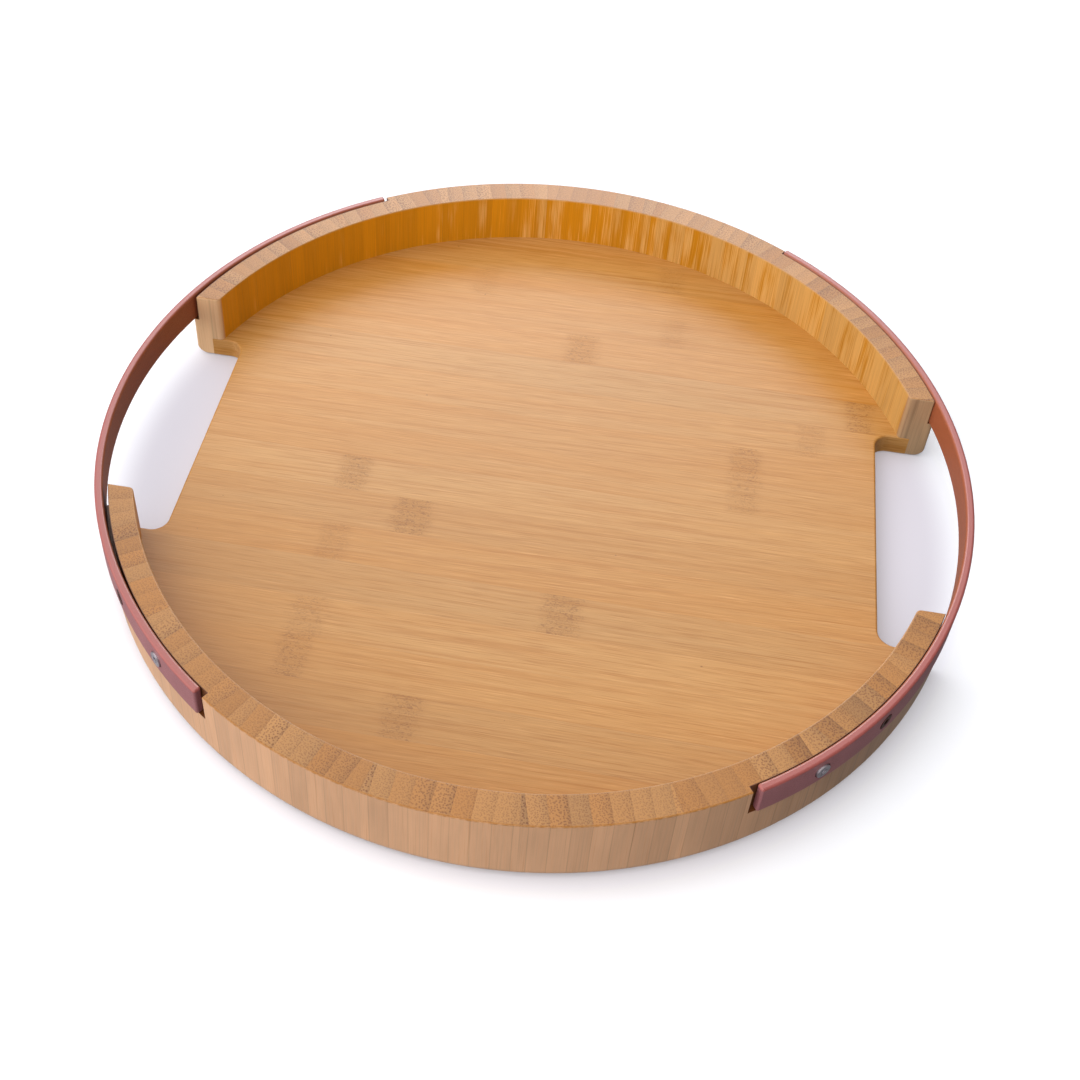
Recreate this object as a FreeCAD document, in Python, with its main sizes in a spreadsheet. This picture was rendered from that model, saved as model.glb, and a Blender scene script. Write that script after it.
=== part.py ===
# Round serving tray of laminated bamboo with two leather strap handles.
#
# The rim is a ring of mitred bamboo blocks with upright grain.  A notch on each side (+X and -X)
# cuts through rim and floor and splits the ring into a back rail and a front rail.  The floor is
# a board of two plies of flat bamboo strips that run from handle to handle, and its edge sits in
# a groove round the inside of the rim.  A leather strap bridges each notch: its ends lie in a
# rebate in the outer face of the rails and are held by two screws each.
#
# Frame: origin at the middle of the underside, +X to the right-hand strap, +Y to the back rail,
# +Z up, millimetres.
import FreeCAD, Part
import math
import os

import Sketcher
from FreeCAD import Placement, Rotation, Vector

doc = FreeCAD.newDocument("serving_tray")

# ---------------------------------------------------------------------------------------------
# Driving dimensions
# ---------------------------------------------------------------------------------------------
DIMENSIONS = [
    ("rim_radius", 186.0),          # outer face of the rim
    ("rim_width", 13.2),            # radial width of the rim's flat top
    ("tray_height", 36.0),
    ("floor_thickness", 10.6),      # both plies together
    ("ply_thickness", 5.3),
    ("groove_depth", 5.0),          # how far the floor's edge reaches into the rim
    ("round_over", 5.0),            # outer bottom edge of the rim
    ("rim_edge_round", 0.5),        # the rim's two top edges
    ("block_angle", 18.0),          # one mitred block: twenty go round the full ring
    ("first_joint_angle", 24.7),    # mitre nearest to the right-hand end of the back rail
    ("notch_half_length", 60.6),    # along Y, from the middle to a rail's end
    ("notch_edge_distance", 151.5), # along X, from the middle to the notch's straight edge
    ("notch_corner_round", 7.0),
    ("notch_lip_round", 1.0),       # the floor's edge where fingers touch it
    ("rail_inner_corner_round", 2.4),
    ("rail_outer_corner_round", 1.2),
    ("strip_width", 20.25),
    ("upper_strip_offset", -1.2),   # one glue line of the upper ply, along Y
    ("lower_strip_offset", 3.8),    # one glue line of the lower ply, along Y
    ("rebate_radius", 183.2),       # back wall of the strap's rebate
    ("rebate_bottom", 22.0),        # ledge under the strap
    ("rebate_half_angle", 56.75),
    ("rebate_turn", -0.2),          # how far the rebate's middle is round from the X axis
    ("strap_bottom", 22.2),
    ("strap_width", 14.5),          # upright
    ("strap_thickness", 3.5),
    ("strap_gap", 0.3),             # between the strap and the rebate's back wall, at the ends
    ("strap_edge_round", 1.0),
    ("strap_length", 360.2),        # along its inner face, the same for both straps
    ("right_strap_turn", 0.2),     # how far the strap's middle is round from the X axis
    ("left_strap_turn", -0.45),
    ("right_strap_bulge", 0.0),     # how far the strap stands out beyond its gap
    ("left_strap_bulge", 2.0),
    ("bulge_angle", 13.0),          # where it stands out furthest, round from the X axis
    ("bulge_reach_before", 62.0),   # how far round the bulge dies away, on either side
    ("bulge_reach_after", 35.0),
    ("screw_height", 29.3),
    ("outer_screw_angle", 47.3),    # from the X axis to the screw nearest the strap's end
    ("inner_screw_angle", 36.6),
    ("screw_head_radius", 3.2),
    ("screw_head_thickness", 1.3),
    ("outer_screw_sink", 0.7),      # depth of the head's seat in the strap
    ("inner_screw_sink", 1.2),
    ("screw_seat_radius", 3.6),
    ("screw_shank_radius", 1.75),
    ("screw_shank_length", 8.0),
    ("screw_tip_length", 2.5),
    ("screw_tip_radius", 0.3),
    ("screw_socket_radius", 1.5),
    ("screw_socket_depth", 0.9),
    ("strap_hole_radius", 2.1),
]

sheet = doc.addObject("Spreadsheet::Sheet", "Sizes")
for row, (alias, value) in enumerate(DIMENSIONS, start=1):
    sheet.set(f"A{row}", alias)
    sheet.set(f"B{row}", str(value))
    sheet.setAlias(f"B{row}", alias)
doc.recompute()

size = {alias: float(sheet.get(alias)) for alias, _ in DIMENSIONS}

TOOL_REACH = 240.0      # cutting tools reach this far out from the tray's middle
TOOL_MARGIN = 20.0      # and this far above and below the tray
CLOSE = 0.01            # two lengths nearer to each other than this are the same
FULL_TURN = 360


# ---------------------------------------------------------------------------------------------
# Helpers
# ---------------------------------------------------------------------------------------------
def bind(target, **expressions):
    """Drive each named property of target by an expression on the sheet's cells."""
    for name, expression in expressions.items():
        target.setExpression(name, expression)


def origin_part(body, role):
    """Return the plane or axis of the body's origin that has this role."""
    for part in body.Origin.OriginFeatures:
        if part.Role == role:
            return part
    raise ValueError(role)


def new_sketch(body, name, plane):
    sketch = body.newObject("Sketcher::SketchObject", name)
    sketch.AttachmentSupport = [(origin_part(body, plane), "")]
    sketch.MapMode = "FlatFace"
    return sketch


def draw_square_outline(sketch, corners):
    """Draw a closed outline of level and upright lines through the corners.

    Each corner is (x, y, x_expression, y_expression).  An expression on the sheet's cells drives
    that number, and None leaves it as it is.
    """
    count = len(corners)
    lines = []
    for index in range(count):
        start = Vector(corners[index][0], corners[index][1], 0)
        following = corners[(index + 1) % count]
        end = Vector(following[0], following[1], 0)
        lines.append(sketch.addGeometry(Part.LineSegment(start, end), False))
    for index in range(count):
        sketch.addConstraint(Sketcher.Constraint(
            "Coincident", lines[index], 2, lines[(index + 1) % count], 1))
    for index in range(count):
        x, y, x_expression, y_expression = corners[index]
        level = abs(y - corners[(index + 1) % count][1]) < CLOSE
        kind = "Horizontal" if level else "Vertical"
        sketch.addConstraint(Sketcher.Constraint(kind, lines[index]))
        direction = "DistanceY" if level else "DistanceX"
        value = y if level else x
        expression = y_expression if level else x_expression
        placed = sketch.addConstraint(Sketcher.Constraint(
            direction, -1, 1, lines[index], 1, value))
        if expression is not None:
            sketch.setExpression(f"Constraints[{placed}]", expression)


def halfway(edge):
    """The point at the middle of the edge's own curve."""
    return edge.valueAt((edge.FirstParameter + edge.LastParameter) / 2)


def edges_where(feature, test):
    """Name the feature's edges whose middles pass the test."""
    names = []
    for number, edge in enumerate(feature.Shape.Edges, start=1):
        if test(halfway(edge)):
            names.append(f"Edge{number}")
    if not names:
        raise RuntimeError(f"no edge of {feature.Name} passes the test")
    return names


def round_edges(body, feature, name, edges, radius):
    fillet = body.newObject("PartDesign::Fillet", name)
    fillet.Base = (feature, edges)
    bind(fillet, Radius=radius)
    doc.recompute()
    if "Invalid" in fillet.State:
        raise RuntimeError(f"{name} failed on {edges}")
    return fillet


def turned(angle, position=Vector(0, 0, 0)):
    """A placement turned about the upright axis."""
    return Placement(position, Rotation(Vector(0, 0, 1), angle))


def common(name, base, tool):
    piece = doc.addObject("Part::Common", name)
    piece.Base = base
    piece.Tool = tool
    return piece


# ---------------------------------------------------------------------------------------------
# Rim: one turned ring, before it is divided into its blocks
# ---------------------------------------------------------------------------------------------
def on_radius(point, radius):
    return abs(math.hypot(point.x, point.y) - radius) < CLOSE


def make_rim_ring():
    body = doc.addObject("PartDesign::Body", "rim_ring")
    inner = size["rim_radius"] - size["rim_width"]
    groove = inner + size["groove_depth"]

    profile = new_sketch(body, "rim_profile", "XZ_Plane")
    inner_cell = "Sizes.rim_radius - Sizes.rim_width"
    groove_cell = inner_cell + " + Sizes.groove_depth"
    draw_square_outline(profile, [
        (groove, 0, groove_cell, None),
        (size["rim_radius"], 0, "Sizes.rim_radius", None),
        (size["rim_radius"], size["tray_height"], "Sizes.rim_radius", "Sizes.tray_height"),
        (inner, size["tray_height"], inner_cell, "Sizes.tray_height"),
        (inner, size["floor_thickness"], inner_cell, "Sizes.floor_thickness"),
        (groove, size["floor_thickness"], groove_cell, "Sizes.floor_thickness"),
    ])
    ring = body.newObject("PartDesign::Revolution", "rim_turning")
    ring.Profile = profile
    ring.ReferenceAxis = (profile, ["V_Axis"])
    ring.Angle = FULL_TURN
    doc.recompute()

    def outer_bottom(point):
        return abs(point.z) < CLOSE and on_radius(point, size["rim_radius"])
    softened = round_edges(body, ring, "rim_round_over",
                           edges_where(ring, outer_bottom), "Sizes.round_over")

    gap_outline = new_sketch(body, "rail_gap_outline", "XY_Plane")
    half = size["notch_half_length"]
    draw_square_outline(gap_outline, [
        (-TOOL_REACH, -half, None, "-Sizes.notch_half_length"),
        (TOOL_REACH, -half, None, None),
        (TOOL_REACH, half, None, "Sizes.notch_half_length"),
        (-TOOL_REACH, half, None, None),
    ])
    gaps = body.newObject("PartDesign::Pocket", "rail_gaps")
    gaps.Profile = gap_outline
    gaps.Type = "ThroughAll"
    gaps.Midplane = True
    doc.recompute()

    def rail_end_corner(radius):
        def test(point):
            return abs(abs(point.y) - half) < CLOSE and on_radius(point, radius)
        return test

    inner_corners = edges_where(gaps, rail_end_corner(inner))
    softened = round_edges(body, gaps, "rail_inner_corners", inner_corners,
                           "Sizes.rail_inner_corner_round")
    outer_corners = edges_where(softened, rail_end_corner(size["rim_radius"]))
    softened = round_edges(body, softened, "rail_outer_corners", outer_corners,
                           "Sizes.rail_outer_corner_round")

    def top_edge(point):
        at_top = abs(point.z - size["tray_height"]) < CLOSE
        return at_top and (on_radius(point, size["rim_radius"]) or on_radius(point, inner))
    softened = round_edges(body, softened, "rim_top_edges",
                           edges_where(softened, top_edge), "Sizes.rim_edge_round")

    rebate_outline = new_sketch(body, "strap_rebate_outline", "XZ_Plane")
    sketch_upright = Vector(0, 1, 0)
    rebate_outline.AttachmentOffset = Placement(
        Vector(0, 0, 0), Rotation(sketch_upright, size["rebate_turn"]))
    beyond = size["rim_radius"] + TOOL_MARGIN
    above = size["tray_height"] + TOOL_MARGIN
    draw_square_outline(rebate_outline, [
        (size["rebate_radius"], size["rebate_bottom"],
         "Sizes.rebate_radius", "Sizes.rebate_bottom"),
        (beyond, size["rebate_bottom"], f"Sizes.rim_radius + {TOOL_MARGIN}",
         "Sizes.rebate_bottom"),
        (beyond, above, f"Sizes.rim_radius + {TOOL_MARGIN}",
         f"Sizes.tray_height + {TOOL_MARGIN}"),
        (size["rebate_radius"], above, "Sizes.rebate_radius",
         f"Sizes.tray_height + {TOOL_MARGIN}"),
    ])
    rebate = body.newObject("PartDesign::Groove", "strap_rebate")
    rebate.Profile = rebate_outline
    rebate.ReferenceAxis = (rebate_outline, ["V_Axis"])
    rebate.Midplane = True
    bind(rebate, Angle="2 * Sizes.rebate_half_angle")
    doc.recompute()

    both = body.newObject("PartDesign::PolarPattern", "strap_rebates")
    both.Originals = [rebate]
    both.Axis = (origin_part(body, "Z_Axis"), [""])
    both.Angle = FULL_TURN
    both.Occurrences = 2
    body.Tip = both
    doc.recompute()
    return body


# ---------------------------------------------------------------------------------------------
# Floor board: one disc with its two notches, before it is divided into strips
# ---------------------------------------------------------------------------------------------
def make_floor_disc():
    body = doc.addObject("PartDesign::Body", "floor_disc")
    radius = size["rim_radius"] - size["rim_width"] + size["groove_depth"]

    outline = new_sketch(body, "floor_outline", "XY_Plane")
    circle = outline.addGeometry(Part.Circle(Vector(0, 0, 0), Vector(0, 0, 1), radius), False)
    outline.addConstraint(Sketcher.Constraint("Coincident", circle, 3, -1, 1))
    placed = outline.addConstraint(Sketcher.Constraint("Radius", circle, radius))
    outline.setExpression(f"Constraints[{placed}]",
                          "Sizes.rim_radius - Sizes.rim_width + Sizes.groove_depth")
    disc = body.newObject("PartDesign::Pad", "floor_board")
    disc.Profile = outline
    bind(disc, Length="Sizes.floor_thickness")
    doc.recompute()

    notch_outline = new_sketch(body, "notch_outline", "XY_Plane")
    inner = size["notch_edge_distance"]
    half = size["notch_half_length"]
    draw_square_outline(notch_outline, [
        (inner, -half, None, "-Sizes.notch_half_length"),
        (TOOL_REACH, -half, None, None),
        (TOOL_REACH, half, None, "Sizes.notch_half_length"),
        (inner, half, "Sizes.notch_edge_distance", None),
    ])
    notch = body.newObject("PartDesign::Pocket", "notch")
    notch.Profile = notch_outline
    notch.Type = "ThroughAll"
    notch.Midplane = True
    doc.recompute()

    both = body.newObject("PartDesign::PolarPattern", "notches")
    both.Originals = [notch]
    both.Axis = (origin_part(body, "Z_Axis"), [""])
    both.Angle = FULL_TURN
    both.Occurrences = 2
    body.Tip = both
    doc.recompute()

    def notch_corner(point):
        return abs(abs(point.x) - inner) < CLOSE and abs(abs(point.y) - half) < CLOSE
    softened = round_edges(body, both, "notch_corners", edges_where(both, notch_corner),
                           "Sizes.notch_corner_round")

    def notch_lip(point):
        level = min(abs(point.z), abs(point.z - size["floor_thickness"])) < CLOSE
        inside_rim = math.hypot(point.x, point.y) < radius - CLOSE
        return level and inside_rim and abs(point.x) > inner - CLOSE
    softened = round_edges(body, softened, "notch_lips", edges_where(softened, notch_lip),
                           "Sizes.notch_lip_round")
    body.Tip = softened
    doc.recompute()
    return body


# ---------------------------------------------------------------------------------------------
# Straps: a band bent to a smooth outline seen from above, with softened edges
# ---------------------------------------------------------------------------------------------
STRAP_STATIONS = 41     # points along the outline of each face


def strap_inner_radius(bulge, angle):
    """Distance from the tray's middle to the strap's inner face, at this angle round."""
    resting = size["rebate_radius"] + size["strap_gap"]
    beyond = angle - size["bulge_angle"]
    reach = size["bulge_reach_before"] if beyond < 0 else size["bulge_reach_after"]
    swell = (1 + math.cos(math.pi * min(abs(beyond) / reach, 1))) / 2
    return resting + bulge * swell


def strap_face_radius(bulge, angle):
    """Distance from the tray's middle to the strap's outer face, at this angle round."""
    return strap_inner_radius(bulge, angle) + size["strap_thickness"]


def strap_angles(bulge, turn):
    """Angles of the stations, spread over the strap's length on either side of its middle."""
    half = math.degrees(size["strap_length"] / 2 / (size["rebate_radius"] + size["strap_gap"]))
    steps = [2 * number / (STRAP_STATIONS - 1) - 1 for number in range(STRAP_STATIONS)]
    radii = [strap_inner_radius(bulge, turn + half * step) for step in steps]
    mean_radius = sum(radii) / len(radii)
    half = math.degrees(size["strap_length"] / 2 / mean_radius)
    return [turn + half * step for step in steps]


def smooth_face(radius_at, bulge, angles):
    """A smooth curve through the face's points at these angles."""
    points = []
    for angle in angles:
        round_from_x = math.radians(angle)
        outward = Vector(math.cos(round_from_x), math.sin(round_from_x), 0)
        points.append(outward * radius_at(bulge, angle))
    curve = Part.BSplineCurve()
    curve.interpolate(points)
    return curve


def make_strap_band(side, facing):
    """Facing is the direction of the half of the X axis that the strap's angles count from."""
    name = f"{side}_band"
    bulge = size[f"{side}_strap_bulge"]
    body = doc.addObject("PartDesign::Body", name)
    outline = new_sketch(body, name + "_outline", "XY_Plane")
    angles = strap_angles(bulge, size[f"{side}_strap_turn"])
    inner = smooth_face(strap_inner_radius, bulge, angles)
    outer = smooth_face(strap_face_radius, bulge, angles)
    sides = [
        inner,
        Part.LineSegment(inner.EndPoint, outer.EndPoint),
        outer,
        Part.LineSegment(outer.StartPoint, inner.StartPoint),
    ]
    for side in sides:
        outline.addGeometry(side, False)
    # Each row is two sides that meet and the ends they meet at: 1 is a start and 2 an end.
    meetings = [(0, 2, 1, 1), (1, 2, 2, 2), (2, 1, 3, 1), (3, 2, 0, 1)]
    for first, first_end, second, second_end in meetings:
        outline.addConstraint(Sketcher.Constraint(
            "Coincident", first, first_end, second, second_end))
    bind(outline, **{"AttachmentOffset.Base.z": "Sizes.strap_bottom"})
    band = body.newObject("PartDesign::Pad", name + "_pad")
    band.Profile = outline
    bind(band, Length="Sizes.strap_width")
    doc.recompute()
    every_edge = [f"Edge{number}" for number in range(1, len(band.Shape.Edges) + 1)]
    softened = round_edges(body, band, name + "_edges", every_edge, "Sizes.strap_edge_round")
    body.Tip = softened
    body.Placement = turned(facing)
    doc.recompute()
    return body


# ---------------------------------------------------------------------------------------------
# Screws: each is built along the radial line that it is driven in on
# ---------------------------------------------------------------------------------------------
def radial_placement(direction, distance):
    """A placement at screw height whose own Z axis points outwards at this direction."""
    turn = math.radians(direction)
    outward = Vector(math.cos(turn), math.sin(turn), 0)
    position = outward * distance + Vector(0, 0, size["screw_height"])
    return Placement(position, Rotation(Vector(0, 0, 1), outward))


def cylinder(name, radius, length, placement):
    solid = doc.addObject("Part::Cylinder", name)
    bind(solid, Radius=radius, Height=length)
    solid.Placement = placement
    return solid


def make_screw(name, direction, seat):
    """A screw whose head rests in its strap this far from the tray's middle."""
    shank_start = seat - size["screw_shank_length"]
    head = cylinder(name + "_head", "Sizes.screw_head_radius", "Sizes.screw_head_thickness",
                    radial_placement(direction, seat))
    shank = cylinder(name + "_shank", "Sizes.screw_shank_radius", "Sizes.screw_shank_length",
                     radial_placement(direction, shank_start))
    tip = doc.addObject("Part::Cone", name + "_tip")
    bind(tip, Radius1="Sizes.screw_tip_radius", Radius2="Sizes.screw_shank_radius",
         Height="Sizes.screw_tip_length")
    tip.Placement = radial_placement(direction, shank_start - size["screw_tip_length"])
    blank = doc.addObject("Part::MultiFuse", name + "_blank")
    blank.Shapes = [head, shank, tip]
    socket = doc.addObject("Part::Prism", name + "_socket")
    socket.Polygon = 6
    bind(socket, Circumradius="Sizes.screw_socket_radius", Height="Sizes.screw_head_thickness")
    socket_floor = seat + size["screw_head_thickness"] - size["screw_socket_depth"]
    socket.Placement = radial_placement(direction, socket_floor)
    screw = doc.addObject("Part::Cut", name)
    screw.Base = blank
    screw.Tool = socket
    return screw, blank


def make_strap_hole(name, direction, seat):
    """The hole punched in the strap for one screw, with the shallow recess for its head."""
    through = cylinder(name + "_through", "Sizes.strap_hole_radius", "2 * Sizes.strap_thickness",
                       radial_placement(direction, seat - size["strap_thickness"]))
    recess = cylinder(name + "_recess", "Sizes.screw_seat_radius", "Sizes.strap_thickness",
                      radial_placement(direction, seat))
    hole = doc.addObject("Part::Fuse", name)
    hole.Base = through
    hole.Tool = recess
    return hole


# ---------------------------------------------------------------------------------------------
# The tray
# ---------------------------------------------------------------------------------------------
nodes = []

# Screws and strap holes, two at each end of each strap.
screws = {"outer": [], "inner": []}
screw_blanks = []
strap_holes = {"left": [], "right": []}
STRAP_SIDES = [("right", 0.0), ("left", 180.0)]
SCREW_ROWS = ["outer", "inner"]
for side, facing in STRAP_SIDES:
    for row in SCREW_ROWS:
        for end, hand in [("first", 1), ("second", -1)]:
            angle = hand * size[f"{row}_screw_angle"]
            face = strap_face_radius(size[f"{side}_strap_bulge"], angle)
            seat = face - size[f"{row}_screw_sink"]
            label = f"{side}_{end}_{row}"
            screw, blank = make_screw(label + "_screw", facing + angle, seat)
            screws[row].append(screw)
            screw_blanks.append(blank)
            strap_holes[side].append(make_strap_hole(label + "_hole", facing + angle, seat))

for row in SCREW_ROWS:
    group = doc.addObject("Part::Compound", f"strap_screws_{row}")
    group.Links = screws[row]
    nodes.append(group)

# Straps.
for side, facing in STRAP_SIDES:
    band = make_strap_band(side, facing)
    holes = doc.addObject("Part::MultiFuse", f"{side}_strap_holes")
    holes.Shapes = strap_holes[side]
    strap = doc.addObject("Part::Cut", f"{side}_strap")
    strap.Base = band
    strap.Tool = holes
    nodes.append(strap)

# Rim blocks: each is the stretch of the bored ring between two mitres.
rim_ring = make_rim_ring()
all_screws = doc.addObject("Part::MultiFuse", "screw_bores")
all_screws.Shapes = screw_blanks
bored_ring = doc.addObject("Part::Cut", "bored_ring")
bored_ring.Base = rim_ring
bored_ring.Tool = all_screws

BLOCKS_PER_RAIL = 9
BLOCKS_IN_HALF_TURN = 10
# The first joint is the far side of the back rail's first block, which the notch cuts short.
FIRST_BLOCK = {"back": -1, "front": -1 + BLOCKS_IN_HALF_TURN}
for rail in ("back", "front"):
    for number in range(BLOCKS_PER_RAIL):
        place = FIRST_BLOCK[rail] + number
        name = f"{rail}_rail_block_{number + 1}"
        sector = doc.addObject("Part::Cylinder", name + "_sector")
        sector.Radius = TOOL_REACH
        bind(sector, Angle="Sizes.block_angle",
             Height=f"Sizes.tray_height + {2 * TOOL_MARGIN}")
        start = size["first_joint_angle"] + place * size["block_angle"]
        sector.Placement = turned(start, Vector(0, 0, -TOOL_MARGIN))
        nodes.append(common(name, bored_ring, sector))

# Floor strips: each is the stretch of the disc between two glue lines, in one ply.
floor_disc = make_floor_disc()
board_radius = size["rim_radius"] - size["rim_width"] + size["groove_depth"]
PLIES = [("lower", "0", "lower_strip_offset"), ("upper", "Sizes.ply_thickness",
                                                "upper_strip_offset")]
for ply, level_cell, offset_name in PLIES:
    glue_line = size[offset_name]
    first = math.floor((-board_radius - glue_line) / size["strip_width"])
    last = math.ceil((board_radius - glue_line) / size["strip_width"])
    for number in range(last - first):
        name = f"{ply}_floor_strip_{number + 1:02d}"
        slab = doc.addObject("Part::Box", name + "_slab")
        slab.Length = 2 * TOOL_REACH
        bind(slab, Width="Sizes.strip_width", Height="Sizes.ply_thickness")
        slab.Placement.Base = Vector(-TOOL_REACH, 0, 0)
        bind(slab, **{
            "Placement.Base.y": f"Sizes.{offset_name} + {first + number} * Sizes.strip_width",
            "Placement.Base.z": level_cell,
        })
        nodes.append(common(name, floor_disc, slab))

doc.recompute()

# ---------------------------------------------------------------------------------------------
# Check and write
# ---------------------------------------------------------------------------------------------
for item in doc.Objects:
    if "Invalid" in item.State or "Error" in item.State:
        raise RuntimeError(f"{item.Name} failed: {item.State}")
for node in nodes:
    if node.Shape.isNull() or not node.Shape.isValid() or not node.Shape.Solids:
        raise RuntimeError(f"{node.Name} has no valid solid")

os.makedirs("parts", exist_ok=True)
for node in nodes:
    node.Label = node.Name
    node.Shape.exportStep(f"parts/{node.Label}.step")
    box = node.Shape.BoundBox
    print(f"{node.Label:28s} solids {len(node.Shape.Solids)} volume {node.Shape.Volume:10.1f} "
          f"x {box.XMin:8.2f} {box.XMax:8.2f} y {box.YMin:8.2f} {box.YMax:8.2f} "
          f"z {box.ZMin:6.2f} {box.ZMax:6.2f}")
print("nodes", len(nodes))
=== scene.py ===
import math

import bpy
from mathutils import Matrix, Vector


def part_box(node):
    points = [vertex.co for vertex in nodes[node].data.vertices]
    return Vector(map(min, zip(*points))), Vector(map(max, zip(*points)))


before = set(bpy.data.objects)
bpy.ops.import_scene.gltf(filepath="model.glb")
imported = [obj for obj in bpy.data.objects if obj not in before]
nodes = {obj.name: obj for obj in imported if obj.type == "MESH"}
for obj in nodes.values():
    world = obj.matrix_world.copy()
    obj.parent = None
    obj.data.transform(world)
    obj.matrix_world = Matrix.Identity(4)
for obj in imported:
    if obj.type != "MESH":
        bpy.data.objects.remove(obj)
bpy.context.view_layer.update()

# ---------------------------------------------------------------------------------------------
# Sizes of the tray, in millimetres and degrees.  The materials work in millimetres.
# ---------------------------------------------------------------------------------------------
MM = 1000.0
TRAY_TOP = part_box("back_rail_block_5")[1].z * MM
RIM_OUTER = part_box("back_rail_block_5")[1].y * MM
RIM_WIDTH = 13.2
RIM_INNER = RIM_OUTER - RIM_WIDTH
RIM_MIDDLE = RIM_OUTER - RIM_WIDTH / 2
STRIP_WIDTH = (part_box("upper_floor_strip_09")[1].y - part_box("upper_floor_strip_09")[0].y) * MM
UPPER_GLUE_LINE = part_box("upper_floor_strip_09")[0].y * MM
LOWER_GLUE_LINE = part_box("lower_floor_strip_09")[0].y * MM
STRAP_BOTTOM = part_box("right_strap")[0].z * MM
STRAP_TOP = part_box("right_strap")[1].z * MM
STRAP_EDGE_ROUND = 1.0
RAIL_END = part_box("back_rail_block_1")[0].y * MM
BLOCK_ANGLE = 18.0
FIRST_MITRE = 24.7
STAVE_WIDTH = 7.5
REBATE_RADIUS = 183.2
REBATE_BOTTOM = 22.0
REBATE_HALF_ANGLE = 56.75
REBATE_TURN = -0.2


# ---------------------------------------------------------------------------------------------
# Node helpers
# ---------------------------------------------------------------------------------------------
MIX_A, MIX_B, MIX_RESULT = 6, 7, 2      # the colour sockets of a Mix node


class Shader:
    """Builds the node tree of one material."""

    def __init__(self, name):
        self.material = bpy.data.materials.new(name)
        self.material.use_nodes = True
        self.tree = self.material.node_tree
        self.surface = self.tree.nodes["Principled BSDF"]

    def feed(self, socket, value):
        if isinstance(value, bpy.types.NodeSocket):
            self.tree.links.new(value, socket)
        else:
            socket.default_value = value

    def node(self, kind, inputs, **settings):
        made = self.tree.nodes.new(kind)
        for key, value in settings.items():
            setattr(made, key, value)
        for socket, value in inputs.items():
            self.feed(made.inputs[socket], value)
        return made

    def math(self, operation, *values):
        return self.node("ShaderNodeMath", dict(enumerate(values)), operation=operation).outputs[0]

    def add(self, a, b):
        return self.math("ADD", a, b)

    def subtract(self, a, b):
        return self.math("SUBTRACT", a, b)

    def multiply(self, a, b):
        return self.math("MULTIPLY", a, b)

    def ramp(self, value, low, high, start=0.0, end=1.0):
        """Goes smoothly from start to end while value goes from low to high."""
        return self.node(
            "ShaderNodeMapRange",
            {"Value": value, "From Min": low, "From Max": high, "To Min": start, "To Max": end},
            interpolation_type="SMOOTHSTEP").outputs["Result"]

    def spread(self, value, start, end):
        """Maps a value in 0..1 straight on to start..end."""
        return self.node(
            "ShaderNodeMapRange", {"Value": value, "To Min": start, "To Max": end}
        ).outputs["Result"]

    def vector(self, x, y, z):
        return self.node("ShaderNodeCombineXYZ", {0: x, 1: y, 2: z}).outputs[0]

    def split(self, vector):
        return self.node("ShaderNodeSeparateXYZ", {0: vector}).outputs[:]

    def stretch(self, vector, x, y, z):
        return self.node(
            "ShaderNodeVectorMath", {0: vector, 1: (x, y, z)}, operation="MULTIPLY").outputs[0]

    def place(self):
        """The point's own place in the tray, in millimetres."""
        found = self.node("ShaderNodeTexCoord", {}).outputs["Object"]
        return self.stretch(found, MM, MM, MM)

    def upward(self):
        """How squarely the surface faces up or down, 0 on a wall and 1 on a level face."""
        normal = self.node("ShaderNodeNewGeometry", {}).outputs["Normal"]
        return self.math("ABSOLUTE", self.split(normal)[2])

    def noise(self, vector, scale, detail=2.0, roughness=0.5, distortion=0.0):
        """Noise about 0, mostly within -0.5 to 0.5."""
        made = self.node("ShaderNodeTexNoise", {
            "Vector": vector, "Scale": scale, "Detail": detail,
            "Roughness": roughness, "Distortion": distortion})
        return self.subtract(made.outputs[0], 0.5)

    def chances(self, *seed):
        """Three random numbers in 0..1 that belong to this seed."""
        padded = list(seed) + [0.0] * (3 - len(seed))
        made = self.node("ShaderNodeTexWhiteNoise", {"Vector": self.vector(*padded)},
                         noise_dimensions="3D")
        return self.split(made.outputs["Color"])

    def cells(self, vector, scale, dimensions="3D"):
        """Distance to the nearest of many scattered points, about 0 to 0.7."""
        return self.node("ShaderNodeTexVoronoi", {"Vector": vector, "Scale": scale},
                         voronoi_dimensions=dimensions).outputs["Distance"]

    def mix(self, factor, a, b):
        return self.node("ShaderNodeMix", {0: factor, MIX_A: a, MIX_B: b},
                         data_type="RGBA").outputs[MIX_RESULT]

    def shade(self, colour, factor):
        """Makes a colour darker or lighter by a factor."""
        grey = self.node("ShaderNodeCombineColor", {0: factor, 1: factor, 2: factor}).outputs[0]
        return self.node("ShaderNodeMix", {0: 1.0, MIX_A: colour, MIX_B: grey},
                         data_type="RGBA", blend_type="MULTIPLY").outputs[MIX_RESULT]

    def bump(self, height, distance):
        """Height in 0..1 stands for this many millimetres of relief."""
        made = self.node("ShaderNodeBump", {"Height": height, "Distance": distance / MM})
        self.feed(self.surface.inputs["Normal"], made.outputs[0])

    def finish(self, colour, roughness, **constants):
        self.feed(self.surface.inputs["Base Color"], colour)
        self.feed(self.surface.inputs["Roughness"], roughness)
        for socket, value in constants.items():
            self.surface.inputs[socket.replace("_", " ")].default_value = value
        return self.material


def rgb(red, green, blue):
    return (red, green, blue, 1.0)


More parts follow.
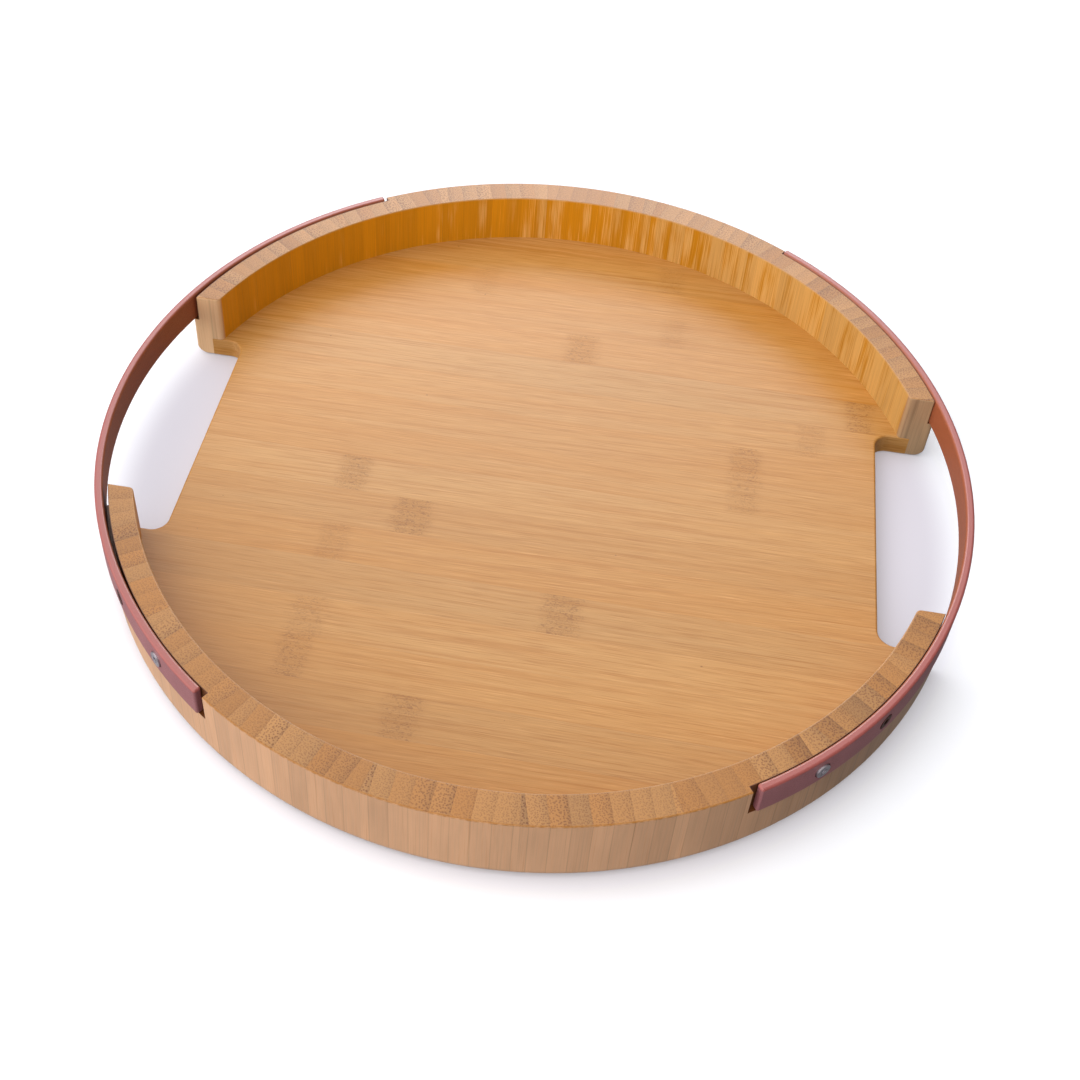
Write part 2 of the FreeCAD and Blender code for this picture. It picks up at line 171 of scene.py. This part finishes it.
# ---------------------------------------------------------------------------------------------
# Rim: blocks of upright staves
# ---------------------------------------------------------------------------------------------
STAVE_PALE = rgb(0.45, 0.205, 0.052)
STAVE_WARM = rgb(0.40, 0.160, 0.026)
BUNDLE_BROWN = rgb(0.17, 0.050, 0.005)
OUTER_PALE = rgb(0.71, 0.395, 0.215)
OUTER_BROWN = rgb(0.42, 0.165, 0.060)
# Painted shade: the inner wall's deep ochre stands in for its shade; it is the same bamboo as the
# outer wall.
INNER_SHADED_OCHRE = rgb(0.60, 0.236, 0.002)
INNER_TAN = rgb(0.74, 0.400, 0.110)
# Painted light: the rails' end faces are paler than the outer wall.
END_PAINTED_LIGHT = rgb(0.80, 0.500, 0.270)
# Painted shade, in the strap's rebate.
REBATE_PAINTED_SHADE = rgb(0.13, 0.034, 0.006)
EDGE_ORANGE = rgb(0.36, 0.130, 0.006)
EDGE_PALE = rgb(0.50, 0.27, 0.12)

# The staves that stand out: the direction of the stave, how much darker, how coarse its dots.
ODD_STAVES = [
    (-151.6, 0.10, 0.9),
    (-83.5, 0.12, 0.5),
    (-76.0, 0.14, 0.6),
    (-49.0, 0.16, 0.9),
    (-43.4, 0.10, 1.0),
    (-40.0, 0.26, 0.5),
    (-36.1, 0.12, 1.0),
    (-22.5, 0.12, 0.9),
]
ODD_STAVE_REACH = 1.25      # degrees from the stated direction to the middle of its stave

# How many dots or streaks go to a millimetre.  A streak has one number for each direction: two
# across the upright fibres and one along them.
FINE_DOTS = 1.15
COARSE_DOTS = 0.98
RIM_GRAIN = (2.6, 2.6, 0.6)
RIM_FIBRE = (2.3, 2.3, 0.026)
RIM_LONG_FIBRE = (0.8, 0.8, 0.012)
RIM_PATCH = (0.16, 0.16, 0.030)
EDGE_PATCHINESS = (0.5, 0.5, 0.5)

# Where the rim's faces meet: the tint changes between the two distances.
INNER_WALL = (RIM_INNER + 1.2, RIM_INNER + 2.2)         # from the tray's middle
RAIL_END_FACE = (RAIL_END + 0.6, RAIL_END + 1.6)        # along Y
PAST_RAIL_END = (RAIL_END + 1.0, RAIL_END + 2.4)
BELOW_TOP = (TRAY_TOP - 0.9, TRAY_TOP - 0.3)            # along Z
OUTER_EDGE = (RIM_OUTER - 0.9, RIM_OUTER - 0.35)
INNER_EDGE = (RIM_INNER + 0.35, RIM_INNER + 0.9)
REBATE_WALL = (REBATE_RADIUS - 0.4, REBATE_RADIUS - 0.1)
REBATE_MARGIN = 0.05

# Between these two places along X, from left to right, painted light and shade change a wall's
# colour.
OUTER_PAINTED_SHADE = (75.0, 150.0)
INNER_PAINTED_LIGHT_AND_SHADE = (-100.0, 160.0)
INNER_PAINTED_SHEEN = (-140.0, 160.0)

SHIFT_SEED = 3.1
STAVE_SEED = 0.7
RIM_RELIEF = 0.05


def rim_bamboo():
    s = Shader("rim_bamboo")
    place = s.place()
    x, y, z = s.split(place)

    # Which block this is, and the place turned into the block's own directions.
    angle = s.math("DEGREES", s.math("ARCTAN2", y, x))
    turn = s.math("DIVIDE", s.subtract(angle, FIRST_MITRE), BLOCK_ANGLE)
    block = s.math("FLOOR", turn)
    middle = s.math("MULTIPLY_ADD", s.add(block, 0.5), BLOCK_ANGLE, FIRST_MITRE)
    facing = s.math("RADIANS", s.multiply(middle, -1.0))
    local = s.node("ShaderNodeVectorRotate", {"Vector": place, "Angle": facing},
                   rotation_type="Z_AXIS").outputs[0]
    _, along, _ = s.split(local)
    reach = s.math("SQRT", s.add(s.multiply(x, x), s.multiply(y, y)))

    # Which stave of the block this is, and how far across it.
    shift = s.multiply(s.chances(block, SHIFT_SEED)[0], STAVE_WIDTH)
    lane = s.math("DIVIDE", s.add(along, shift), STAVE_WIDTH)
    stave = s.math("FLOOR", lane)
    across = s.math("FRACT", lane)
    tint, warmth, coarse = s.chances(block, stave, STAVE_SEED)
    stave_along = s.subtract(s.multiply(s.add(stave, 0.5), STAVE_WIDTH), shift)
    stave_angle = s.add(middle, s.math("DEGREES", s.math("ARCTAN2", stave_along, RIM_MIDDLE)))
    odd_dark = 0.0
    odd_coarse = 0.0
    for direction, darker, coarser in ODD_STAVES:
        near = s.math("COMPARE", stave_angle, direction, ODD_STAVE_REACH)
        odd_dark = s.math("MAXIMUM", odd_dark, s.multiply(near, darker))
        odd_coarse = s.math("MAXIMUM", odd_coarse, s.multiply(near, coarser))

    # The bundles of fibres are upright rods: dots where they are cut across, else streaks.
    level = s.ramp(s.upward(), 0.5, 0.9)
    fine_dots = s.ramp(s.cells(local, FINE_DOTS, dimensions="2D"), 0.16, 0.42, 1.0, 0.0)
    coarse_dots = s.ramp(s.cells(local, COARSE_DOTS, dimensions="2D"), 0.18, 0.42, 1.0, 0.0)
    coarseness = s.math("MAXIMUM", odd_coarse, s.multiply(coarse, 0.8))
    is_coarse = s.math("GREATER_THAN", coarseness, 0.66)
    dots = s.add(s.multiply(fine_dots, s.subtract(1.0, is_coarse)),
                 s.multiply(coarse_dots, is_coarse))
    crowding = s.spread(across, 0.50, 1.0)
    dot_depth = s.add(s.spread(coarse, 0.38, 0.92), s.multiply(odd_coarse, 0.35))
    dot_depth = s.math("MINIMUM", s.multiply(dot_depth, crowding), 0.95)
    dot_depth = s.multiply(dot_depth, level)
    grain = s.noise(s.stretch(local, *RIM_GRAIN), 1.0, detail=2.0, roughness=0.6)

    # Along the walls: fine streaks, a few long ones, and patches where they gather.
    fibre = s.noise(s.stretch(local, *RIM_FIBRE), 1.0, detail=3.0, roughness=0.62)
    long_fibre = s.noise(s.stretch(local, *RIM_LONG_FIBRE), 1.0, detail=2.0)
    patch = s.noise(s.stretch(local, *RIM_PATCH), 1.0, detail=2.0)

    # Glue lines: between staves, and at each mitre.
    from_glue = s.subtract(0.5, s.math("ABSOLUTE", s.subtract(across, 0.5)))
    glue = s.ramp(from_glue, 0.0, 0.04, 1.0, 0.0)
    in_block = s.math("FRACT", turn)
    from_mitre = s.subtract(0.5, s.math("ABSOLUTE", s.subtract(in_block, 0.5)))
    mitre = s.ramp(from_mitre, 0.0, 0.008, 1.0, 0.0)

    # The top, where every stave is cut across, is darker towards one side of each stave.
    top = s.mix(s.ramp(warmth, 0.2, 1.0), STAVE_PALE, STAVE_WARM)
    value = s.subtract(s.spread(tint, 0.92, 1.06), odd_dark)
    shaded_side = s.multiply(s.math("POWER", across, 2.5), s.spread(coarse, 0.08, 0.26))
    value = s.subtract(value, shaded_side)
    value = s.add(value, s.multiply(grain, 0.50))
    top = s.mix(s.multiply(dots, dot_depth), s.shade(top, value), BUNDLE_BROWN)

    # The outer wall and the rails' ends are pale, with brown streaks.  The ends have painted
    # light, and the outer wall has painted shade to the right.
    brown = s.add(s.ramp(fibre, 0.02, 0.30, 0.0, 0.55), s.ramp(long_fibre, 0.10, 0.28, 0.0, 0.45))
    painted_end_light = s.ramp(s.math("ABSOLUTE", y), *RAIL_END_FACE, 1.0, 0.0)
    outer = s.mix(brown, s.mix(painted_end_light, OUTER_PALE, END_PAINTED_LIGHT), OUTER_BROWN)
    value = s.multiply(s.spread(tint, 0.88, 1.08), s.ramp(x, *OUTER_PAINTED_SHADE, 1.0, 0.62))
    value = s.subtract(s.add(value, s.multiply(fibre, 0.45)), s.multiply(glue, 0.16))
    outer = s.shade(outer, s.add(value, s.multiply(patch, 0.30)))

    # Painted shade: the inner wall is a deep ochre, deeper than the outer wall, and it is painted
    # lighter to the left and darker to the right.  Its pale streaks gather in patches, and a
    # painted sheen gathers them to the right.
    streaks_and_sheen = s.add(s.multiply(patch, 1.5), s.spread(tint, -0.12, 0.16))
    streaks_and_sheen = s.add(streaks_and_sheen, s.ramp(x, *INNER_PAINTED_SHEEN, -0.30, 0.50))
    pale = s.ramp(s.add(s.multiply(fibre, 1.3), streaks_and_sheen), -0.06, 0.50)
    inner = s.mix(pale, INNER_SHADED_OCHRE, INNER_TAN)
    value = s.add(s.ramp(x, *INNER_PAINTED_LIGHT_AND_SHADE, 1.17, 0.77), s.spread(warmth, -0.07, 0.07))
    inner = s.shade(inner, s.add(value, s.multiply(fibre, 0.60)))

    inside = s.ramp(reach, *INNER_WALL, 1.0, 0.0)
    inside = s.multiply(inside, s.ramp(s.math("ABSOLUTE", y), *PAST_RAIL_END))
    colour = s.mix(level, s.mix(inside, outer, inner), top)
    seams = s.add(s.multiply(glue, 0.05), s.multiply(mitre, s.spread(level, 0.07, 0.13)))
    colour = s.shade(colour, s.subtract(1.0, seams))

    # Painted shade: the strap's rebate, a recess behind the strap, is coloured dark brown.
    folded = s.math("WRAP", angle, 90.0, -90.0)
    from_middle = s.math("ABSOLUTE", s.subtract(folded, REBATE_TURN))
    rebate_shade = s.math("LESS_THAN", from_middle, REBATE_HALF_ANGLE + REBATE_MARGIN)
    rebate_shade = s.multiply(rebate_shade, s.math("GREATER_THAN", z, REBATE_BOTTOM - REBATE_MARGIN))
    rebate_shade = s.multiply(rebate_shade, s.ramp(reach, *REBATE_WALL))
    colour = s.mix(s.multiply(rebate_shade, 0.9), colour, REBATE_PAINTED_SHADE)

    # The rounded top edges: an orange line in patches along the outer edge, and a faint pale line
    # along the inner edge.
    near_top = s.ramp(z, *BELOW_TOP)
    outer_edge = s.ramp(reach, *OUTER_EDGE)
    inner_edge = s.ramp(reach, *INNER_EDGE, 1.0, 0.0)
    patchy_edge = s.ramp(s.noise(s.stretch(local, *EDGE_PATCHINESS), 1.0), -0.2, 0.2, 0.2, 0.8)
    colour = s.mix(s.multiply(s.multiply(near_top, outer_edge), patchy_edge), colour, EDGE_ORANGE)
    colour = s.mix(s.multiply(s.multiply(near_top, inner_edge), 0.3), colour, EDGE_PALE)

    pits = s.multiply(s.multiply(dots, level), 0.35)
    relief = s.subtract(s.multiply(fibre, 0.6), s.add(pits, s.multiply(glue, 0.4)))
    s.bump(relief, RIM_RELIEF)
    roughness = s.add(s.spread(dots, 0.42, 0.50), s.multiply(fibre, 0.12))
    return s.finish(colour, roughness, Specular_IOR_Level=0.30, Coat_Weight=0.22,
                    Coat_Roughness=0.36)


# ---------------------------------------------------------------------------------------------
# Floor: two plies of flat strips, their fibres along X
# ---------------------------------------------------------------------------------------------
STRIP_PALE = rgb(0.505, 0.252, 0.070)
STRIP_WARM = rgb(0.455, 0.190, 0.027)
STREAK_ORANGE = rgb(0.38, 0.138, 0.010)
STREAK_PALE = rgb(0.60, 0.310, 0.100)
KNUCKLE_BROWN = rgb(0.17, 0.050, 0.006)

# Where the stem's knuckles show in the upper ply: x, y, length along X, and strength.
KNUCKLES = [
    (-79.5, -12.7, 15.0, 0.9),
    (-49.0, -33.0, 19.0, 1.0),
    (-79.0, -54.0, 14.0, 0.55),
    (10.0, 90.6, 17.0, 0.75),
    (144.0, 73.0, 15.0, 0.8),
    (122.0, 51.0, 14.0, 0.5),
    (93.0, 28.0, 16.0, 0.8),
    (93.0, 10.5, 16.0, 0.6),
    (22.0, -68.5, 19.0, 0.9),
    (-80.0, -91.0, 17.0, 0.6),
    (-81.0, -106.5, 15.0, 0.8),
    (-32.0, -132.0, 17.0, 0.8),
    (49.0, 154.0, 15.0, 0.4),
    (53.0, 114.0, 14.0, 0.35),
    (-44.0, 135.0, 14.0, 0.35),
]
HIDDEN_KNUCKLE_SPREAD = 260.0       # along X, over which the lower ply's knuckles are scattered
HIDDEN_KNUCKLE_LENGTH = 16.0
KNUCKLE_CORE = 0.22         # of its length, from its middle to where it starts to fade
KNUCKLE_REACH = 0.62        # of its length, from its middle to where it ends
KNUCKLE_RAGGEDNESS = 7.0    # how far its outline wanders along X

# How many streaks go to a millimetre: along the fibres, and twice across them.
RAGGED_EDGE = (0.25, 0.45, 0.3)
RIPPLE = (0.50, 1.1, 0.6)
CURL = (0.9, 2.4, 1.2)
BROAD_BAND = (0.005, 0.10, 0.10)
MEDIUM_STREAK = (0.008, 0.55, 0.55)
FINE_STREAK = (0.022, 1.9, 1.9)
SINGLE_FIBRE = (0.07, 3.6, 3.6)
SPECK_SHAPE = (0.8, 1.3, 1.0)
SPECKS = 0.05

FIBRE_SLANT = (-0.030, 0.004)       # least and most, across Y for each millimetre along X
STRIP_SHIFT = 170.0                 # along X, so that no two strips share a pattern
# Painted shade and painted light: the board is warmer towards the front left and paler towards the
# back left.
FRONT_LEFT_PAINTED_SHADE = (-240.0, -130.0)       # x + y, from where the board is warmest to where it isn't
BACK_LEFT_PAINTED_LIGHT = (30.0, 200.0)           # y - x, from where the board starts to pale to the palest
FLOOR_RELIEF = 0.05


def knuckle_mask(s, from_middle, length):
    """1 at a knuckle's middle, falling to 0 at its ends."""
    away = s.math("ABSOLUTE", from_middle)
    return s.ramp(away, length * KNUCKLE_CORE, length * KNUCKLE_REACH, 1.0, 0.0)


def floor_bamboo(name, glue_line, knuckles):
    """Knuckles lists where they show, or is None to scatter one in each strip."""
    s = Shader(name)
    place = s.place()
    x, y, z = s.split(place)
    lane = s.math("DIVIDE", s.subtract(y, glue_line), STRIP_WIDTH)
    strip = s.math("FLOOR", lane)
    across = s.math("FRACT", lane)
    tint, warmth, slant = s.chances(strip, glue_line)

    # The fibres cross each strip at a slight slant of its own.
    slope = s.spread(slant, *FIBRE_SLANT)
    fibre_y = s.add(y, s.multiply(x, slope))
    local = s.vector(s.add(x, s.multiply(strip, STRIP_SHIFT)), fibre_y, z)

    # A knuckle bends the fibres round it and mottles them.
    ragged = s.multiply(s.noise(s.stretch(local, *RAGGED_EDGE), 1.0), KNUCKLE_RAGGEDNESS)
    ragged_x = s.add(x, ragged)
    knuckle = 0.0
    if knuckles is None:
        middle = s.multiply(s.subtract(tint, 0.5), HIDDEN_KNUCKLE_SPREAD)
        knuckle = knuckle_mask(s, s.subtract(ragged_x, middle), HIDDEN_KNUCKLE_LENGTH)
    else:
        for knuckle_x, knuckle_y, length, strength in knuckles:
            its_strip = math.floor((knuckle_y - glue_line) / STRIP_WIDTH)
            here = s.multiply(s.math("COMPARE", strip, its_strip, 0.5), strength)
            mask = knuckle_mask(s, s.subtract(ragged_x, knuckle_x), length)
            knuckle = s.math("MAXIMUM", knuckle, s.multiply(here, mask))
    ripple = s.noise(s.stretch(local, *RIPPLE), 1.0, detail=3.0, distortion=1.6)
    curl = s.noise(s.stretch(local, *CURL), 1.0, detail=2.0, distortion=2.2)

    # Streaks along the fibres, from broad bands down to single fibres.  The whole board also has
    # painted shade, warmer towards the front left, and painted light, paler towards the back left.
    broad = s.noise(s.stretch(local, *BROAD_BAND), 1.0)
    medium = s.noise(s.stretch(local, *MEDIUM_STREAK), 1.0, detail=3.0)
    fine = s.noise(s.stretch(local, *FINE_STREAK), 1.0, detail=3.0, roughness=0.60)
    single = s.noise(s.stretch(local, *SINGLE_FIBRE), 1.0, detail=2.0)
    from_glue = s.subtract(0.5, s.math("ABSOLUTE", s.subtract(across, 0.5)))
    glue = s.ramp(from_glue, 0.0, 0.010, 1.0, 0.0)

    colour = s.mix(s.add(s.multiply(warmth, 0.6), s.multiply(broad, 1.2)), STRIP_PALE, STRIP_WARM)
    colour = s.mix(s.ramp(medium, -0.05, 0.28, 0.0, 0.60), colour, STREAK_ORANGE)
    streaks = s.add(fine, s.multiply(single, 0.8))
    colour = s.mix(s.ramp(streaks, 0.00, 0.24, 0.0, 0.65), colour, STREAK_ORANGE)
    colour = s.mix(s.ramp(streaks, -0.28, -0.08, 0.50, 0.0), colour, STREAK_PALE)
    painted_shade_warmth = s.ramp(s.add(x, y), *FRONT_LEFT_PAINTED_SHADE, 0.45, 0.0)
    colour = s.mix(painted_shade_warmth, colour, STRIP_WARM)
    painted_light_paling = s.ramp(s.subtract(y, x), *BACK_LEFT_PAINTED_LIGHT, 0.0, 0.14)
    value = s.add(s.spread(tint, 0.95, 1.04), painted_light_paling)
    value = s.add(value, s.multiply(broad, 0.10))
    value = s.subtract(value, s.multiply(single, 0.30))
    value = s.subtract(value, s.multiply(glue, 0.06))
    colour = s.shade(colour, value)
    mottle = s.add(s.ramp(ripple, 0.00, 0.16), s.ramp(curl, 0.06, 0.18, 0.0, 0.7))
    stain = s.multiply(knuckle, s.spread(mottle, 0.08, 0.62))
    colour = s.mix(stain, colour, KNUCKLE_BROWN)
    speck = s.ramp(s.cells(s.stretch(place, *SPECK_SHAPE), SPECKS), 0.012, 0.024, 0.7, 0.0)
    colour = s.mix(speck, colour, KNUCKLE_BROWN)

    relief = s.add(s.multiply(fine, 0.5), s.multiply(s.multiply(ripple, knuckle), 0.8))
    s.bump(s.subtract(relief, s.multiply(glue, 0.3)), FLOOR_RELIEF)
    roughness = s.add(s.spread(s.add(fine, 0.5), 0.38, 0.50), s.multiply(knuckle, 0.08))
    return s.finish(colour, roughness, Specular_IOR_Level=0.28, Coat_Weight=0.22,
                    Coat_Roughness=0.38)


# ---------------------------------------------------------------------------------------------
# Straps and screws
# ---------------------------------------------------------------------------------------------
LEATHER_RED = rgb(0.38, 0.135, 0.142)
LEATHER_DEEP = rgb(0.31, 0.105, 0.112)
LEATHER_EDGE = rgb(0.36, 0.076, 0.056)
LEATHER_BACK_WITH_BOUNCE = rgb(0.34, 0.085, 0.030)
STEEL_BRIGHT = rgb(0.66, 0.62, 0.66)
STEEL_DARK = rgb(0.42, 0.39, 0.42)
# Painted shade: the inner screws are made dark brown for the shade and dark reflections on them.
SHADED_SCREW_BRIGHT = rgb(0.16, 0.055, 0.035)
SHADED_SCREW_DARK = rgb(0.07, 0.022, 0.014)

# How many clouds, cells, pores or creases go to a millimetre of leather.
CLOUDS = 0.09
LEATHER_CELLS = 2.1
PORES = 5.5
CREASES = (0.5, 0.5, 2.2)
TURNING_MARKS = (1.2, 1.2, 9.0)     # on a screw, and likewise
TARNISH = 0.7

LEATHER_RELIEF = 0.06
SCREW_RELIEF = 0.015

# How far below the strap's top, or above its bottom, its rounded edge's tint starts and is full.
TINT_START = STRAP_EDGE_ROUND * 1.15
TINT_FULL = STRAP_EDGE_ROUND * 0.45


def strap_leather():
    s = Shader("strap_leather")
    place = s.place()
    x, y, z = s.split(place)
    cloudy = s.noise(place, CLOUDS, detail=3.0)

    # The leather's back is the side that faces the middle of the tray.  Its orange-brown is partly
    # the back's own colour and partly painted bounce light from the bamboo.
    outward = s.node("ShaderNodeVectorMath", {0: s.vector(x, y, 0.0)},
                     operation="NORMALIZE").outputs[0]
    normal = s.node("ShaderNodeNewGeometry", {}).outputs["Normal"]
    facing = s.node("ShaderNodeVectorMath", {0: outward, 1: normal},
                    operation="DOT_PRODUCT").outputs["Value"]
    back = s.ramp(facing, -0.75, -0.15, 1.0, 0.0)
    grain = s.cells(place, LEATHER_CELLS)
    pores = s.noise(place, PORES, detail=2.0)
    creases = s.noise(s.stretch(place, *CREASES), 1.0, detail=3.0, distortion=0.8)

    above = s.ramp(z, STRAP_TOP - TINT_START, STRAP_TOP - TINT_FULL)
    below = s.ramp(z, STRAP_BOTTOM + TINT_FULL, STRAP_BOTTOM + TINT_START, 1.0, 0.0)
    edge = s.math("MAXIMUM", above, below)

    colour = s.mix(s.add(s.multiply(cloudy, 1.4), 0.4), LEATHER_RED, LEATHER_DEEP)
    value = s.add(1.0, s.multiply(pores, 0.16))
    value = s.subtract(value, s.ramp(grain, 0.42, 0.62, 0.0, 0.10))
    colour = s.shade(colour, s.add(value, s.multiply(creases, 0.08)))
    colour = s.mix(s.multiply(edge, 0.8), colour, LEATHER_EDGE)
    # Partly painted bounce light: the back is tinted orange-brown.
    colour = s.mix(back, colour, s.shade(LEATHER_BACK_WITH_BOUNCE, s.add(value, s.multiply(creases, 0.3))))

    face = s.subtract(1.0, s.multiply(edge, 0.8))
    relief = s.add(s.multiply(s.ramp(grain, 0.25, 0.62, 1.0, 0.0), 0.6), s.multiply(pores, 0.5))
    s.bump(s.multiply(s.add(relief, s.multiply(creases, 0.4)), face), LEATHER_RELIEF)
    roughness = s.add(s.spread(edge, 0.47, 0.38), s.multiply(pores, 0.10))
    return s.finish(colour, roughness, Specular_IOR_Level=0.6)


def screw_metal(name, bright, dark, roughness_low, roughness_high):
    """Turned metal with marks round it, tarnished in patches from bright to dark."""
    s = Shader(name)
    place = s.place()
    turning = s.noise(s.stretch(place, *TURNING_MARKS), 1.0, detail=3.0)
    tarnish = s.noise(place, TARNISH, detail=3.0)
    colour = s.mix(s.ramp(tarnish, -0.15, 0.25), bright, dark)
    s.bump(turning, SCREW_RELIEF)
    roughness = s.spread(s.add(turning, 0.5), roughness_low, roughness_high)
    return s.finish(colour, roughness, Metallic=1.0)


# ---------------------------------------------------------------------------------------------
# Give each node its material
# ---------------------------------------------------------------------------------------------
rim_material = rim_bamboo()
upper_material = floor_bamboo("upper_bamboo", UPPER_GLUE_LINE, KNUCKLES)
lower_material = floor_bamboo("lower_bamboo", LOWER_GLUE_LINE, None)
leather_material = strap_leather()
steel_material = screw_metal("screw_steel", STEEL_BRIGHT, STEEL_DARK, 0.38, 0.56)
# The inner screws' dark brown is painted shade.
shaded_screw_material = screw_metal("screw_painted_shade", SHADED_SCREW_BRIGHT, SHADED_SCREW_DARK, 0.35, 0.55)

MATERIAL_OF = [
    ("back_rail_block", rim_material),
    ("front_rail_block", rim_material),
    ("upper_floor_strip", upper_material),
    ("lower_floor_strip", lower_material),
    ("left_strap", leather_material),
    ("right_strap", leather_material),
    ("strap_screws_outer", steel_material),
    ("strap_screws_inner", shaded_screw_material),
]
for name, node in nodes.items():
    for start, material in MATERIAL_OF:
        if name.startswith(start):
            for slot in node.material_slots:
                slot.material = material


# ---------------------------------------------------------------------------------------------
# Floor, lights and camera
# ---------------------------------------------------------------------------------------------
FLOOR_SIZE = 60.0                   # metres
FLOOR_DROP = 0.0002                 # so that the tray's underside isn't in the floor's plane
FLOOR_WHITE = rgb(0.91, 0.92, 0.955)
FLOOR_SHADED = rgb(0.57, 0.545, 0.61)
SHADE_FULL = RIM_OUTER - 12.0       # from the tray's middle, in millimetres
SHADE_END = RIM_OUTER + 14.0


def add_stage_floor():
    """White paper, a little shaded where the tray stands over it, and clear from below."""
    half = FLOOR_SIZE / 2
    mesh = bpy.data.meshes.new("studio_floor")
    corners = [(-half, -half), (half, -half), (half, half), (-half, half)]
    mesh.from_pydata([(x, y, -FLOOR_DROP) for x, y in corners], [], [(0, 1, 2, 3)])
    floor = bpy.data.objects.new("studio_floor", mesh)
    bpy.context.scene.collection.objects.link(floor)
    floor.visible_diffuse = False       # the sky's ground strength stands for its glow
    floor.visible_glossy = False
    s = Shader("studio_floor")
    x, y, _ = s.split(s.place())
    reach = s.math("SQRT", s.add(s.multiply(x, x), s.multiply(y, y)))
    under = s.ramp(reach, SHADE_FULL, SHADE_END, 1.0, 0.0)
    colour = s.mix(under, FLOOR_WHITE, FLOOR_SHADED)
    from_below = s.node("ShaderNodeNewGeometry", {}).outputs["Backfacing"]
    s.feed(s.surface.inputs["Alpha"], s.subtract(1.0, from_below))
    mesh.materials.append(s.finish(colour, 0.8, Specular_IOR_Level=0.0,
                                   Emission_Color=rgb(0.97, 0.98, 1.0), Emission_Strength=0.17))


def add_sun(name, azimuth, elevation, spread, strength, colour, sheen_only=False):
    """Azimuth is where the light comes from: 0 is the front (-Y) and 90 is the right (+X)."""
    light = bpy.data.lights.new(name, "SUN")
    light.energy = strength
    light.angle = math.radians(spread)
    light.color = colour
    lamp = bpy.data.objects.new(name, light)
    turn = math.radians(azimuth)
    rise = math.radians(elevation)
    towards = Vector((math.sin(turn) * math.cos(rise), -math.cos(turn) * math.cos(rise),
                      math.sin(rise)))
    lamp.rotation_mode = "QUATERNION"
    lamp.rotation_quaternion = towards.to_track_quat("Z", "Y")
    lamp.visible_diffuse = not sheen_only
    bpy.context.scene.collection.objects.link(lamp)


def set_world(colour, zenith, horizon, ground, side):
    """The sky lights the tray, and the camera sees plain white behind the floor.

    Its strength goes from horizon to zenith above, and is ground below.  Side is how much
    stronger it is on the left, and weaker on the right.
    """
    world = bpy.data.worlds.new("studio")
    bpy.context.scene.world = world
    world.use_nodes = True
    tree = world.node_tree
    tree.nodes.clear()

    def node(kind, inputs, **settings):
        made = tree.nodes.new(kind)
        for key, value in settings.items():
            setattr(made, key, value)
        for socket, value in inputs.items():
            if isinstance(value, bpy.types.NodeSocket):
                tree.links.new(value, made.inputs[socket])
            else:
                made.inputs[socket].default_value = value
        return made

    direction = node("ShaderNodeTexCoord", {}).outputs["Generated"]
    x, _, z = node("ShaderNodeSeparateXYZ", {0: direction}).outputs[:]
    above = node("ShaderNodeMapRange", {"Value": z, "From Min": 0.0, "From Max": 1.0,
                                        "To Min": horizon, "To Max": zenith}).outputs["Result"]
    is_above = node("ShaderNodeMath", {0: z, 1: 0.0}, operation="GREATER_THAN").outputs[0]
    level = node("ShaderNodeMix", {0: is_above, 2: ground, 3: above}).outputs[0]
    leaning = node("ShaderNodeMath", {0: x, 1: -side, 2: 1.0}, operation="MULTIPLY_ADD").outputs[0]
    strength = node("ShaderNodeMath", {0: level, 1: leaning}, operation="MULTIPLY").outputs[0]
    fill = node("ShaderNodeBackground", {"Color": colour, "Strength": strength})
    backdrop = node("ShaderNodeBackground", {"Color": rgb(1.0, 1.0, 1.0)})
    seen = node("ShaderNodeLightPath", {}).outputs["Is Camera Ray"]
    choice = node("ShaderNodeMixShader", {0: seen, 1: fill.outputs[0], 2: backdrop.outputs[0]})
    node("ShaderNodeOutputWorld", {"Surface": choice.outputs[0]})


add_stage_floor()
add_sun("key_light", azimuth=-52.0, elevation=40.0, spread=110.0, strength=2.5,
        colour=(1.0, 0.995, 0.98))
add_sun("top_light", azimuth=-150.0, elevation=70.0, spread=90.0, strength=1.1,
        colour=(1.0, 1.0, 1.0))
add_sun("back_sheen", azimuth=187.0, elevation=34.0, spread=34.0, strength=1.8,
        colour=(1.0, 0.99, 0.99), sheen_only=True)
set_world(rgb(0.95, 0.96, 1.0), zenith=0.25, horizon=0.70, ground=0.32, side=0.65)
bpy.context.scene.view_settings.view_transform = "Standard"

# The camera, as azimuth and elevation round a point of the table, then rolled about its line of
# sight.  The shift is the picture's own: its middle is not where the lens points.
CAMERA_AZIMUTH = math.radians(8.35)
CAMERA_ELEVATION = math.radians(44.26)
CAMERA_ROLL = math.radians(2.39)
CAMERA_DISTANCE = 0.7414
CAMERA_TARGET = Vector((-0.0357, 0.0648, 0.0))
CAMERA_LENS = 51.05
CAMERA_SENSOR = 36.0
CAMERA_SHIFT = (0.0560, -0.1419)


def add_camera():
    data = bpy.data.cameras.new("camera")
    data.lens = CAMERA_LENS
    data.sensor_width = CAMERA_SENSOR
    data.shift_x, data.shift_y = CAMERA_SHIFT
    camera = bpy.data.objects.new("camera", data)
    bpy.context.scene.collection.objects.link(camera)
    back = Vector((math.sin(CAMERA_AZIMUTH) * math.cos(CAMERA_ELEVATION),
                   -math.cos(CAMERA_AZIMUTH) * math.cos(CAMERA_ELEVATION),
                   math.sin(CAMERA_ELEVATION)))
    level = Vector((0, 0, 1)).cross(back).normalized()
    upright = back.cross(level)
    right = level * math.cos(CAMERA_ROLL) + upright * math.sin(CAMERA_ROLL)
    up = upright * math.cos(CAMERA_ROLL) - level * math.sin(CAMERA_ROLL)
    turn = Matrix((right, up, back)).transposed().to_4x4()
    camera.matrix_world = Matrix.Translation(CAMERA_TARGET + back * CAMERA_DISTANCE) @ turn
    bpy.context.scene.camera = camera


add_camera()
